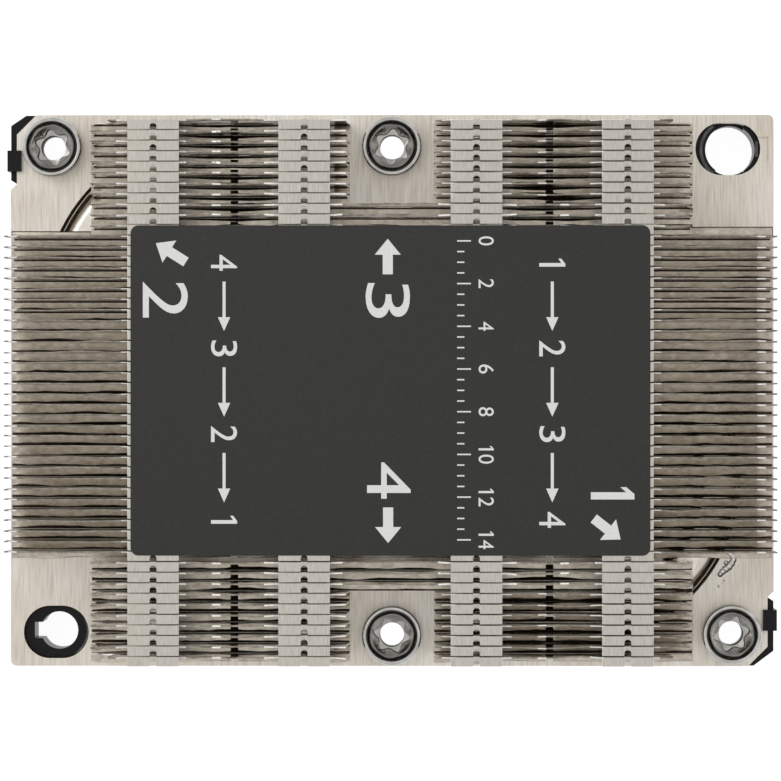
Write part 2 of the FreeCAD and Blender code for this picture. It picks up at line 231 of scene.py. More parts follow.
white_ink, tree, shader = finish("white label ink", Roughness=0.55, IOR=1.5)
mottle = stretched_noise(tree, (0.3, 0.3, 0.3), detail=3.0)
add(tree, "ShaderNodeValToRGB", {"Fac": mottle.outputs[0]}, to=shader.inputs["Base Color"],
    stops=((0.3, "F2F2F0"), (0.7, "FCFCFA")))

black_plastic, tree, shader = finish("moulded black plastic", Roughness=0.34, IOR=1.52, Specular_IOR_Level=0.2)
erosion = stretched_noise(tree, (0.2, 0.2, 0.2), detail=2.0)
add(tree, "ShaderNodeValToRGB", {"Fac": erosion.outputs[0]}, to=shader.inputs["Base Color"],
    stops=((0.3, "0D0D0E"), (0.7, "171718")))
add(tree, "ShaderNodeBump", {"Height": erosion.outputs[0], "Distance": 0.012 * MM, "Strength": 1.0},
    to=shader.inputs["Normal"])

# A lighter grey copy of the black plastic: a painted highlight on the rims and the stop.
highlight_black_plastic, tree, shader = finish("black plastic with painted highlight", Roughness=0.22, IOR=1.52, Specular_IOR_Level=0.6)
rub = stretched_noise(tree, (0.3, 1.6, 1.0), detail=3.0)
add(tree, "ShaderNodeValToRGB", {"Fac": rub.outputs[0]}, to=shader.inputs["Base Color"],
    stops=((0.35, "2A2B2D"), (0.65, "5A5B5D")))
print("made", label_film.name, white_ink.name, black_plastic.name, highlight_black_plastic.name, sep=", ")

# %% [markdown]
# ## Finishes for the CAD pieces
# The base, the clips and the carrier already have their true shape, so they only get a finish. It goes into the
# object's own material slots, and the mesh stays as it is.

# %% Dress the CAD pieces
def dress(names, material):
    for name in names:
        for held in nodes[name].material_slots:
            held.material = material
    print(material.name, "->", len(names), "nodes")


dress(["base_plate"], brushed_nickel)
dress([n for n in nodes if n.startswith("retaining_clip")], spring_steel)
dress(["package_carrier"], black_plastic)

# %% [markdown]
# ## Modelling helpers
# An operator acts on everything that is selected, so each step first clears the selection and then picks faces,
# edges or points by where they are. `pick` does that inside edit mode with a small test on the middle of each
# element.

# %% Selection helpers
def alone(thing):
    bpy.ops.object.select_all(action="DESELECT")
    thing.select_set(True)
    bpy.context.view_layer.objects.active = thing


def started(name):
    """The primitive that was just added, named, alone in the selection and with its place in its mesh."""
    thing = bpy.context.active_object
    thing.name = name
    thing.data.name = name
    alone(thing)
    bpy.ops.object.transform_apply(location=True, rotation=True, scale=True)
    return thing


def pick(thing, test, kind="EDGE"):
    """In edit mode, selects the edges, faces or points whose middle passes the test."""
    bpy.ops.mesh.select_mode(type=kind)
    bpy.ops.mesh.select_all(action="DESELECT")
    bpy.ops.object.mode_set(mode="OBJECT")
    mesh = thing.data
    if kind == "VERT":
        found = [v for v in mesh.vertices if test(v.co)]
    elif kind == "EDGE":
        ends = mesh.vertices
        found = [e for e in mesh.edges if test((ends[e.vertices[0]].co + ends[e.vertices[1]].co) / 2)]
    else:
        found = [f for f in mesh.polygons if test(f.center)]
    for element in found:
        element.select = True
    bpy.ops.object.mode_set(mode="EDIT")
    return len(found)


def sheet(name, place, size, turn=(0, 0, 0)):
    """A flat rectangle with its middle at a place, as wide and deep as size says."""
    bpy.ops.object.select_all(action="DESELECT")
    bpy.ops.mesh.primitive_plane_add(size=1, location=place, rotation=turn)
    bpy.context.active_object.scale = (size[0], size[1], 1)
    return started(name)


def block(name, place, size):
    """A box with its middle at a place."""
    bpy.ops.object.select_all(action="DESELECT")
    bpy.ops.mesh.primitive_cube_add(size=1, location=place)
    bpy.context.active_object.scale = size
    return started(name)


def modified(thing, kind, **settings):
    """Adds a modifier and applies it."""
    alone(thing)
    made = thing.modifiers.new(kind.title(), kind)
    for name, value in settings.items():
        setattr(made, name, value)
    bpy.ops.object.modifier_apply(modifier=made.name)


def rounded(thing, width_mm, segments=2, degrees=50):
    """Bevels every edge that is sharper than the angle."""
    modified(thing, "BEVEL", width=width_mm * MM, segments=segments, limit_method="ANGLE",
             angle_limit=math.radians(degrees))


def copied(thing, name):
    twin = thing.copy()
    twin.data = thing.data.copy()
    twin.name = name
    twin.data.name = name
    scene.collection.objects.link(twin)
    return twin


def joined(things, name):
    alone(things[0])
    for thing in things:
        thing.select_set(True)
    bpy.ops.object.join()
    things[0].name = name
    return things[0]


def smooth(thing, degrees=32):
    alone(thing)
    bpy.ops.object.shade_smooth_by_angle(angle=math.radians(degrees))


def coated(thing, material):
    thing.data.materials.clear()
    thing.data.materials.append(material)
    return thing


def removed(thing):
    bpy.data.objects.remove(thing)


print("modelling helpers ready")

# %% [markdown]
# ## One fin
# A fin is one strip of sheet. Stamping folds its bottom into a foot that is soldered to the base, and its top
# into short tabs, all towards the same side. An arched slot runs through each tab, and behind it a small ear of
# metal stays level with the tab and closes the slot of the fin before. The strip is modelled as its middle
# surface: a plane for the foot, extruded up for the plate, cut by bisecting, and extruded again for the tabs.
# Solidify then gives it thickness, and Bevel rounds its folds.

# %% Sizes of the fin stack
BASE_TOP = 8.2 * MM
FIN_TOP = 28.1 * MM
PITCH = 1.4522 * MM
FIRST_ROW_Y = 37.24 * MM
SHEET = 0.22 * MM
TAB_WIDTH = 7.1 * MM
TAB_PLACES = [s * x * MM for s in (-1, 1) for x in (11.87, 32.7)]
TAB_REACH = 1.19 * MM
FOOT_REACH = 1.08 * MM
SLOT_WIDTH = 0.96 * MM
EAR_WIDTH = 1.2 * MM
FOOT_HOLES = [-22.3 * MM, 22.3 * MM]
HALF = {"full": 53.9 * MM, "mid": 42.6 * MM}
END_SLOPE = {"full": 0.6 * MM, "mid": 1.2 * MM, "left": 1.2 * MM, "right": 1.2 * MM}
FEET_FAN = 0.0125
NUT_GAP = 5.9 * MM
SHADE_THICKNESS = 0.03 * MM
CORNER_SHADE_Y = -0.195 * MM
HAIR = 0.001 * MM
UPPER_SHORT, UPPER_MID, FULL = range(0, 8), range(8, 11), range(11, 42)
LOWER_MID, LOWER_SHORT = range(42, 45), range(45, 52)
LAST_ROW = LOWER_SHORT[-1]
print("rows:", LAST_ROW + 1, "stack depth in mm:", round(LAST_ROW * PITCH / MM, 1))

# %% A fin's strip of sheet
def cut_across(x):
    bpy.ops.mesh.select_all(action="SELECT")
    bpy.ops.mesh.bisect(plane_co=(x, 0, 0), plane_no=(1, 0, 0))


def strip(name, x0, x1, tabs, slope):
    low = BASE_TOP + SHEET / 2
    high = FIN_TOP - SHEET / 2
    fin = sheet(name, ((x0 + x1) / 2, -FOOT_REACH / 2, low), (x1 - x0, FOOT_REACH))
    bpy.ops.object.mode_set(mode="EDIT")
    pick(fin, lambda c: c.y > -HAIR)
    bpy.ops.mesh.extrude_region_move(TRANSFORM_OT_translate={"value": (0, 0, high - low)})
    span, clear = 1.2 * MM, 0.35 * MM
    cuts = [x0 + span * i for i in range(1, int((x1 - x0) / span))]
    edges = [t + s * w / 2 for t in tabs for w in (TAB_WIDTH, EAR_WIDTH) for s in (-1, 1)]
    cuts = [c for c in cuts if min(abs(c - e) for e in edges) > clear]
    for x in sorted(cuts + edges):
        cut_across(x)
    for share in (0.3, 0.6, 0.85):
        bpy.ops.mesh.select_all(action="SELECT")
        bpy.ops.mesh.bisect(plane_co=(0, 0, low + (high - low) * share), plane_no=(0, 0, 1))
    for end, way in ((x0, 1), (x1, -1)):
        pick(fin, lambda c: abs(c.x - end) < HAIR and c.z > low + HAIR, "VERT")
        lean = slope if abs(end) > 10 * MM else 0.25 * MM
        bpy.ops.transform.translate(value=(way * lean, 0, 0))
    on_tab = lambda x: any(abs(x - t) < TAB_WIDTH / 2 for t in tabs)
    pick(fin, lambda c: c.z > high - HAIR and on_tab(c.x))
    bpy.ops.mesh.extrude_region_move(TRANSFORM_OT_translate={"value": (0, -TAB_REACH, 0)})
    bpy.ops.object.mode_set(mode="OBJECT")
    return fin


# %% [markdown]
# A slot is cut with a punch: a cylinder for its round nose, whose back half is drawn out square. The ears, the
# dark sheet of painted shade before the foot and the dark wedge of painted shade behind it are small pieces that
# are joined to the fin, because cutting them out of the same strip would need folds that one sheet can't have.

# %% Slots, ears and thickness
def slot_punch(x, y, z, width, end):
    """A bar with a round nose at +Y and a square tail at `end`."""
    bpy.ops.object.select_all(action="DESELECT")
    bpy.ops.mesh.primitive_cylinder_add(vertices=20, radius=width / 2, depth=1.2 * MM,
                                        location=(x, y - width / 2, z))
    punch = started("punch")
    for point in punch.data.vertices:
        if point.co.y < y - width / 2 - HAIR:
            point.co.y = end
            point.co.x = x + math.copysign(width / 2, point.co.x - x)
    return punch


def ear(x):
    """The level bit of tab metal behind the fold: a trapezoid drawn from a cube."""
    piece = block("ear", (x, -0.07 * MM, FIN_TOP - SHEET / 2), (EAR_WIDTH, 0.46 * MM, SHEET))
    for point in piece.data.vertices:
        if point.co.y > 0:
            point.co.x = x + (point.co.x - x) * 0.72
    rounded(piece, 0.05)
    return piece


def painted_slit_shade(x0, x1):
    """A dark sheet of painted shade that fills the slit between the foot's free edge and the next plate."""
    y0, y1 = -PITCH + 0.1 * MM, -FOOT_REACH + 0.5 * MM
    place = ((x0 + x1) / 2, (y0 + y1) / 2, BASE_TOP + 0.02 * MM)
    crust = sheet("flux", place, (x1 - x0 - 0.2 * MM, y1 - y0))
    modified(crust, "SOLIDIFY", thickness=SHADE_THICKNESS, offset=0.0)
    # The dark sheet in the slit is painted shade.
    coated(crust, flux_and_painted_shade)
    return crust


def painted_corner_shade(x0, x1):
    """A thin dark wedge of painted shade in the corner where the plate rises from its foot."""
    crust = sheet("fillet", ((x0 + x1) / 2, CORNER_SHADE_Y, BASE_TOP), (x1 - x0 - 0.8 * MM, 0.17 * MM))
    bpy.ops.object.mode_set(mode="EDIT")
    for step in range(1, int((x1 - x0) / (1.5 * MM))):
        cut_across(x0 + step * 1.5 * MM)
    bpy.ops.object.mode_set(mode="OBJECT")
    for point in crust.data.vertices:
        point.co.z = BASE_TOP + (0.36 if point.co.y > CORNER_SHADE_Y else 0.23) * MM
    modified(crust, "SOLIDIFY", thickness=SHADE_THICKNESS, offset=0.0)
    coated(crust, flux_and_painted_shade)
    return crust


def glint_spot(x, x0, x1):
    """Whether the top edge at x keeps the bright sheet as a painted glint: at a tab, by a foot lock, and near a long
    fin's ends.
    """
    beside_tab = any(abs(x - t) < TAB_WIDTH / 2 + 1.4 * MM for t in TAB_PLACES)
    near_end = x1 > HALF["mid"] and 1.7 * MM < min(x - x0, x1 - x) < 2.9 * MM
    by_lock = any(abs(abs(x - f) - 1.5 * MM) < 0.35 * MM for f in FOOT_HOLES)
    return beside_tab or near_end or by_lock


EDGE, TAB, FOOT = 1, 2, 3


def stamped(name, x0, x1, slope):
    """A whole fin with its finishes. The long fins' tips take the darker edge colour for their last 1.7 mm."""
    tabs = [t for t in TAB_PLACES if x0 < t < x1]
    fin = strip(name, x0, x1, tabs, slope)
    modified(fin, "SOLIDIFY", thickness=SHEET, offset=0.0)
    rounded(fin, 0.1, 3)
    punches = [slot_punch(t, -0.37 * MM, FIN_TOP, SLOT_WIDTH, -2 * MM) for t in tabs]
    punches += [slot_punch(x, -0.1 * MM, BASE_TOP, 1.1 * MM, -2 * MM) for x in FOOT_HOLES if x0 < x < x1]
    punch = joined(punches, "punches")
    modified(fin, "BOOLEAN", operation="DIFFERENCE", object=punch, solver="EXACT")
    removed(punch)
    smooth(fin, 25)
    coated(fin, fin_sheet)
    for material in (sheared_edge_and_shade, tab_sheet, foot_sheet_and_shade):
        fin.data.materials.append(material)
    # The top edge takes the darker edge colour, partly painted shade, except at the painted glints.
    for face in fin.data.polygons:
        x, y, z = face.center
        if z > FIN_TOP - 0.3 * MM and abs(y) < 0.15 * MM and not glint_spot(x, x0, x1):
            face.material_index = EDGE
        elif z > FIN_TOP - 0.05 * MM and face.normal.z > 0.98 and y < -0.12 * MM:
            face.material_index = TAB
            face.use_smooth = False
        elif z < BASE_TOP + 0.3 * MM and face.normal.z > 0.7:
            face.material_index = FOOT
        elif x1 > HALF["mid"] and min(x - x0, x1 - x) < 1.7 * MM and z > FIN_TOP - 8 * MM:
            face.material_index = EDGE
    ears = [coated(ear(t), tab_sheet) for t in tabs]
    joined([fin, painted_slit_shade(x0, x1)] + ears, name)
    print(name, len(fin.data.polygons), "faces")
    return fin


spans = {
    "full": (-HALF["full"], HALF["full"]),
    "mid": (-HALF["mid"], HALF["mid"]),
    "left": (-HALF["mid"], -NUT_GAP),
    "right": (NUT_GAP, HALF["mid"]),
}
patterns = {kind: stamped(kind + " fin", x0, x1, END_SLOPE[kind]) for kind, (x0, x1) in spans.items()}
corner_shades = {kind: painted_corner_shade(x0, x1) for kind, (x0, x1) in spans.items()}

# %% [markdown]
# ## The stack
# Thin sheet is never quite flat. The plates are held at the foot and at the tabs, and between them the top edges
# wander by a tenth of a millimetre or two, which is what makes the dark gaps swell and pinch. Each copy of a fin
# is pushed by a slow noise that fades out near the foot and the tabs. The feet are cut a little unevenly too, so
# the slit in front of each one is wider in some places than in others, and they fan outwards a little.

# %% Waves in the sheet
def slack(x):
    """How free the sheet's top edge is at x: 0 at a tab, 1 well away from one."""
    near = min(abs(abs(x - t) - TAB_WIDTH / 2) if abs(x - t) > TAB_WIDTH / 2 else 0 for t in TAB_PLACES)
    share = min(near / (2.6 * MM), 1.0)
    return share * share * (3 - 2 * share)


def starved(x):
    """How far the solder has drawn back at x: most by a foot lock, none by a tab."""
    away = (abs(abs(x) - FOOT_HOLES[1]) / (6.5 * MM)) ** 2
    return max(0.0, 1 - away) ** 0.7


OUTER_HALF = 38.95 * MM
CORNER_SHADES_FROM = 11 * MM


def row_fin(kind, row, name):
    """One row's own copy of a pattern. The outer rows are cropped, and painted shade that would stick out is tucked
    in.
    """
    fin = copied(patterns[kind], name)
    own = len(fin.data.vertices)
    y = FIRST_ROW_Y - PITCH * row
    if y > CORNER_SHADES_FROM:
        # The dark corner wedge of painted shade is joined only in the rows where it shows.
        fin = joined([fin, copied(corner_shades[kind], "fillet copy")], name)
    for point in fin.data.vertices:
        x, z = point.co.x, point.co.z
        lift = max(0.0, (z - BASE_TOP) / (FIN_TOP - BASE_TOP))
        if row in (0, LAST_ROW) and lift > 0.1:
            point.co.x = max(-OUTER_HALF, min(OUTER_HALF, x))
        free_edge = z < BASE_TOP + 0.04 * MM and abs(point.co.y + PITCH - 0.1 * MM) < 0.01 * MM
        if free_edge and row in (FULL[-1], LAST_ROW):
            point.co.y = -0.6 * MM
        sway = noise.noise((x / (7 * MM), row * 1.7, 0.5)) + 0.5 * noise.noise((x / (3 * MM), row * 3.1, 9.5))
        ragged = 0.3 * noise.noise((x / (5 * MM), row * 2.3, 4.5)) + 0.12 * noise.noise((x / MM, row, 7.5))
        if BASE_TOP + 0.05 * MM < z < BASE_TOP + 0.3 * MM and point.co.y < -0.7 * MM:
            point.co.y += (min(0.15, max(-0.18, ragged)) + 0.1 * starved(x)) * MM
        elif point.index >= own and point.co.y < CORNER_SHADE_Y:
            point.co.y -= (0.2 + 0.6 * ragged) * starved(x) * MM
        point.co.y += y + FEET_FAN * y * (1 - lift) + sway * 0.2 * MM * slack(x) * lift
    return fin


def placed(piece, *stands_for):
    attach(piece, "heatsink")
    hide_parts(*stands_for)


for row in list(UPPER_MID) + list(LOWER_MID):
    node = "fin_row_%02d" % row
    placed(row_fin("mid", row, "sheet_" + node), node)
for row in FULL:
    node = "fin_row_%02d" % row
    placed(row_fin("full", row, "sheet_" + node), node)
for side in ("left", "right"):
    for where, rows in (("upper", UPPER_SHORT), ("lower", LOWER_SHORT)):
        fins = [row_fin(side, row, "short fin") for row in rows]
        node = "fins_%s_%s" % (where, side)
        placed(joined(fins, "sheets_" + node), node)
for pattern in list(patterns.values()) + list(corner_shades.values()):
    removed(pattern)
print("fins in place")

# %% [markdown]
# ## Lock tongues
# When two fins lock, the press pushes a small tongue of the one down through the slot of the other. Seen from
# above it shades part of the slot, more in some rows than in others. Each tongue is a cube drawn out to a thin
# wedge that slopes down from the round end of the slot.

# %% Tongues in the open slots
def tongue(x, y, reach):
    middle = y - 0.34 * MM - reach / 2
    piece = block("tongue", (x, middle, FIN_TOP - 0.42 * MM), (SLOT_WIDTH * 1.1, reach, 0.1 * MM))
    for point in piece.data.vertices:
        if point.co.y < middle:
            point.co.z -= reach * 0.55
            point.co.x = x + (point.co.x - x) * 0.8
    return piece


tongues = []
for row in list(range(0, 10)) + list(range(FULL[-1], LAST_ROW + 1)):
    for place, x in enumerate(TAB_PLACES):
        luck = noise.noise((place * 3.7 + 0.5, row * 0.83, 2.5))
        if luck > -0.05:
            tongues.append(tongue(x, FIRST_ROW_Y - PITCH * row, (0.28 + 0.9 * luck) * MM))
lock_tongues = joined(tongues, "lock_tongues")
rounded(lock_tongues, 0.03)
coated(lock_tongues, fin_sheet)
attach(lock_tongues, "heatsink")
print("tongues:", len(tongues))

# %% [markdown]
# ## Heat pipes
# A heat pipe starts as a round tube, is bent, and is then pressed flat into its groove, so its shoulders stay
# round. Only one bend of each shows. The section is a rectangle whose corners are beveled round. Spin carries it
# round the bend, and its two end faces are extruded into the straight runs and pinched at their tips.

# %% Curved bars
def curved_bar(name, x, y, r, width, z0, z1, start, sweep, material):
    """A bar bent about a point: inner radius r and heights in millimetres, angles in degrees from +X."""
    place = ((x + r + width / 2) * MM, y * MM, (z0 + z1) / 2 * MM)
    piece = sheet(name, place, (width * MM, (z1 - z0) * MM), turn=(math.radians(90), 0, 0))
    for point in piece.data.vertices:
        out, turn = point.co.x - x * MM, math.radians(start)
        point.co.x, point.co.y = x * MM + out * math.cos(turn), y * MM + out * math.sin(turn)
    bpy.ops.object.mode_set(mode="EDIT")
    bpy.ops.mesh.select_mode(type="VERT")
    bpy.ops.mesh.select_all(action="SELECT")
    bpy.ops.mesh.spin(steps=40, angle=math.radians(-sweep), center=(x * MM, y * MM, 0), axis=(0, 0, 1))
    bpy.ops.mesh.select_all(action="SELECT")
    bpy.ops.mesh.remove_doubles(threshold=HAIR)
    bpy.ops.mesh.normals_make_consistent(inside=False)
    bpy.ops.object.mode_set(mode="OBJECT")
    rounded(piece, 0.06)
    smooth(piece, 40)
    return coated(piece, material)


# %% Model one pipe
PIPE_BEND = (-25.3 * MM, 12.2 * MM)
PIPE_RADIUS = 20.55 * MM
PIPE_SECTION = (2.96 * MM, 5.4 * MM)
PIPE_TIP = 2.4 * MM
section_middle = (PIPE_BEND[0], PIPE_BEND[1] + PIPE_RADIUS, BASE_TOP - 1.52 * MM)
pipe = sheet("pressed_pipe_left", section_middle, PIPE_SECTION, turn=(0, math.radians(90), 0))
bpy.ops.object.mode_set(mode="EDIT")
bpy.ops.mesh.select_mode(type="VERT")
bpy.ops.mesh.select_all(action="SELECT")
bpy.ops.mesh.bevel(offset=1.46 * MM, segments=9, affect="VERTICES")
bpy.ops.mesh.select_all(action="SELECT")
bpy.ops.mesh.spin(steps=48, angle=math.radians(-180), center=(PIPE_BEND[0], PIPE_BEND[1], 0), axis=(0, 0, 1))
for side, length in ((-1, 47.9 * MM), (1, 13.4 * MM)):
    y = PIPE_BEND[1] + side * PIPE_RADIUS
    at_end = lambda c: abs(c.x - PIPE_BEND[0]) < 0.01 * MM and abs(c.y - y) < 3.3 * MM
    if not pick(pipe, at_end, "FACE"):
        pick(pipe, at_end, "EDGE")
        bpy.ops.mesh.edge_face_add()
    bpy.ops.mesh.extrude_region_move(TRANSFORM_OT_translate={"value": (length, 0, 0)})
    bpy.ops.mesh.extrude_region_move(TRANSFORM_OT_translate={"value": (PIPE_TIP, 0, 0)})
    bpy.ops.transform.resize(value=(1, 0.38, 0.5), center_override=(0, y, BASE_TOP - 1.5 * MM))
bpy.ops.mesh.select_all(action="SELECT")
bpy.ops.mesh.remove_doubles(threshold=HAIR)
bpy.ops.mesh.normals_make_consistent(inside=False)
bpy.ops.object.mode_set(mode="OBJECT")
smooth(pipe, 40)
coated(pipe, pipe_metal)
twin = copied(pipe, "pressed_pipe_right")
for point in twin.data.vertices:
    point.co.x, point.co.y = -point.co.x, -point.co.y
for piece, node in ((pipe, "heat_pipe_left"), (twin, "heat_pipe_right")):
    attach(piece, "heatsink")
    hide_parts(node)
print("pipe:", len(pipe.data.polygons), "faces")

# %% [markdown]
# The groove is a little wider than the pipe. A dark strip along its outer wall is painted shade in the gap, and
# one thin rib of base metal beside it stands in for the light line on the pipe's round shoulder, a painted
# highlight.

# %% Painted shade and highlight in the grooves
lines = []
for side in (1, -1):
    x, y, start = side * PIPE_BEND[0] / MM, side * PIPE_BEND[1] / MM, 90 if side == 1 else -90
    # A dark strip of painted shade in the gap, and a thin rib as a painted highlight of the pipe's shoulder.
    lines.append(curved_bar("crust", x, y, 23.1, 0.98, 6.9, 7.1, start, 180, flux_and_painted_shade))
    lines.append(curved_bar("rib", x, y, 23.55, 0.13, 7.0, 7.7, start, 180, brushed_nickel))
groove_shade_and_highlight = joined(lines, "groove_shade_and_highlight")
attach(groove_shade_and_highlight, "heatsink")
print("flux in the grooves:", len(groove_shade_and_highlight.data.polygons), "faces")

# %% [markdown]
# ## Solder that ran out of a joint
# At one pipe the solder has run out over the base and set in a bright squiggle, with a few beads thrown beside it.
# Drops are laid along its path and joined, and a voxel remesh melts them into one skin.

# %% Solder run and beads
def drop(x, y, r, flatness=0.9):
    bpy.ops.object.select_all(action="DESELECT")
    bpy.ops.mesh.primitive_uv_sphere_add(segments=16, ring_count=10, radius=r * MM,
                                         location=(x * MM, y * MM, BASE_TOP))
    piece = started("drop")
    for point in piece.data.vertices:
        point.co.z = BASE_TOP + (point.co.z - BASE_TOP) * flatness
    return piece


run = [(47.35, -22.9, 0.3), (47.75, -23.05, 0.36), (48.15, -23.4, 0.38), (48.25, -23.9, 0.34), (48.0, -24.4, 0.36),
       (47.6, -24.85, 0.42), (47.15, -25.2, 0.4), (46.7, -25.6, 0.34), (46.4, -25.95, 0.26), (47.2, -24.3, 0.2)]
beads = [(47.0, -26.9, 0.17), (46.25, -27.7, 0.2), (46.7, -27.3, 0.1), (50.2, -23.0, 0.17), (50.5, -22.75, 0.11),
         (49.9, -23.3, 0.1), (45.6, -28.2, 0.1), (49.0, -24.9, 0.09)]
spill = joined([drop(x, y, r * 1.15) for x, y, r in run + beads], "solder_spill")
modified(spill, "REMESH", mode="VOXEL", voxel_size=0.06 * MM)
smooth(spill, 80)
coated(spill, solder)
# A flat dark pool under the run: partly a flux stain, partly painted shade around the edges of the beads.
pool = joined([drop(x + 0.05, y - 0.07, r * 1.1 + 0.1, 0.06) for x, y, r in run], "flux_stain_and_shade")
coated(pool, flux_and_painted_shade)
joined([spill, pool], "solder_spill")
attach(spill, "heatsink")
print("solder:", len(spill.data.polygons), "faces")

# %% [markdown]
# ## Long foot strips
# The last short fin before the long ones keeps a full-length foot, although its plate is cropped. Each end of it
# is a bar of sheet with rounded edges, set in a dark hairline of painted shade.

# %% Foot strips beside the first long fin
def bar(name, x0, x1, y0, y1, z0, z1, material, round_mm=0):
    """A box between two corners in millimetres, with rounded edges."""
    place = ((x0 + x1) / 2 * MM, (y0 + y1) / 2 * MM, (z0 + z1) / 2 * MM)
    piece = block(name, place, ((x1 - x0) * MM, (y1 - y0) * MM, (z1 - z0) * MM))
    if round_mm:
        rounded(piece, round_mm, 3)
        smooth(piece, 40)
    return coated(piece, material)


strips = []
for x0, x1, y1 in ((-53.8, -42.5, 22.45), (42.5, 53.8, 23.05)):
    strips.append(bar("strip", x0, x1, 21.9, y1, 8.2, 8.42, foot_sheet_and_shade, 0.08))
    # The dark hairline under each strip is painted shade.
    strips.append(bar("shade_hairline", x0 - 0.1, x1 + 0.1, 21.9, y1 + 0.12, 8.19, 8.23, flux_and_painted_shade))
long_feet = joined(strips, "long_foot_strips")
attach(long_feet, "heatsink")
print("foot strips:", len(long_feet.data.polygons), "faces")

# %% [markdown]
# ## Guide rims of the carrier
# Each guide hole of the carrier has a raised rim on its inner side, and beside the larger hole stands a small stop.
# Both are a lighter, glossier grey than the carrier, a painted highlight. The rim is a bar section spun about the
# hole, so it follows the hole exactly.

# %% Rims and stops
COLLAR_Z = 6.8
# The rims and the stop are a lighter grey plastic, a painted highlight.
rims = [curved_bar("rim large", 47.9, 34.1, 3.88, 0.5, COLLAR_Z, COLLAR_Z + 0.5, 125, 110, highlight_black_plastic),
        curved_bar("rim small", -47.2, -34.0, 3.9, 0.6, COLLAR_Z, COLLAR_Z + 0.5, -55, 110, highlight_black_plastic)]
rims.append(bar("stop", 51.5, 51.82, 33.05, 35.3, COLLAR_Z - 0.2, 7.9, highlight_black_plastic, 0.1))
guide_rims = joined(rims, "guide_rims")
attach(guide_rims, "heatsink")
print("rims and stop:", len(guide_rims.data.polygons), "faces")

# %% [markdown]
# ## Captive nuts
# A nut is turned from bar: a round head with a thin rim, a cone that guides the driver, a flat ledge, a six-lobed
# recess and a threaded bore. A ring of points is extruded step by step along that outline, as a lathe would cut
# it. The recess is then cut out with a lobed bar, and its walls and the bore take the dark steel as painted shade.

# %% Lathe helper
NUT_PLACES = [(48.0, -34.4), (-48.0, 34.4), (0.0, 34.5), (0.0, -34.6)]


def turned(name, outline, sides=72):
    """Turns a closed outline of (radius, height) in millimetres about the Z axis."""
    r, z = outline[0]
    bpy.ops.object.select_all(action="DESELECT")
    bpy.ops.mesh.primitive_circle_add(vertices=sides, radius=r * MM, location=(0, 0, z * MM))
    body = started(name)
    bpy.ops.object.mode_set(mode="EDIT")
    bpy.ops.mesh.select_mode(type="VERT")
    bpy.ops.mesh.select_all(action="SELECT")
    for new_r, new_z in outline[1:] + outline[:1]:
        bpy.ops.mesh.extrude_region_move(TRANSFORM_OT_translate={"value": (0, 0, (new_z - z) * MM)})
        bpy.ops.transform.resize(value=(new_r / r, new_r / r, 1), center_override=(0, 0, new_z * MM))
        r, z = new_r, new_z
    bpy.ops.mesh.select_all(action="SELECT")
    bpy.ops.mesh.remove_doubles(threshold=0.002 * MM)
    bpy.ops.mesh.normals_make_consistent(inside=False)
    bpy.ops.object.mode_set(mode="OBJECT")
    return body


# %% Turn and broach the nut
thread = [(1.70, 2.3 + 0.35 * i) if i % 2 else (1.98, 2.3 + 0.35 * i) for i in range(15)]
outline = [(2.0, 2.02), (2.9, 2.02), (3.18, 2.3), (3.18, 8.2), (4.18, 8.2), (4.18, 11.1), (4.02, 11.36)]
outline += [(3.62, 11.34), (3.5, 11.1), (3.1, 10.3), (2.75, 10.05), (1.70, 9.3), (1.70, 7.6)] + thread[::-1]
nut = turned("nut pattern", outline)
bpy.ops.object.select_all(action="DESELECT")
bpy.ops.mesh.primitive_cylinder_add(vertices=96, radius=1.0, depth=3.4 * MM, location=(0, 0, 9.3 * MM))
broach = started("broach")
for point in broach.data.vertices:
    turn = math.atan2(point.co.y, point.co.x)
    lobe = ((1 + math.cos(6 * turn)) / 2) ** 1.25
    r = (1.92 + 0.66 * lobe) * MM
    point.co.x, point.co.y = r * math.cos(turn), r * math.sin(turn)
modified(nut, "BOOLEAN", operation="DIFFERENCE", object=broach, solver="EXACT")
removed(broach)
rounded(nut, 0.05, degrees=40)
smooth(nut, 35)
coated(nut, turned_nickel)
nut.data.materials.append(spring_steel)
# The recess walls and the bore take the dark spring steel as painted shade.
for face in nut.data.polygons:
    if math.hypot(face.center.x, face.center.y) < 2.68 * MM and abs(face.normal.z) < 0.55:
        face.material_index = 1
print("nut:", len(nut.data.polygons), "faces")

# %% [markdown]
# A nut stops at whatever angle its thread gives, so each copy is turned by an angle of its own. Turn and place go
# into the mesh, and the object stays at the origin, where its joint can carry it.

# %% Place the four nuts
TURNS = [12, 40, 25, 50]
for number, ((x, y), angle) in enumerate(zip(NUT_PLACES, TURNS), 1):
    a = math.radians(angle)
    piece = copied(nut, "turned_nut_%d" % number)
    for point in piece.data.vertices:
        px, py = point.co.x, point.co.y
        point.co.x = x * MM + px * math.cos(a) - py * math.sin(a)
        point.co.y = y * MM + px * math.sin(a) + py * math.cos(a)
    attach(piece, "nut_%d" % number)
    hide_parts("captive_nut_%d" % number)
removed(nut)
print("nuts in place")

# %% [markdown]
# ## The label
# The label is one rounded rectangle of film. It is a box whose four upright edges are beveled round, a little
# thinner than the CAD solid so that the ink can lie on top and still be inside it.

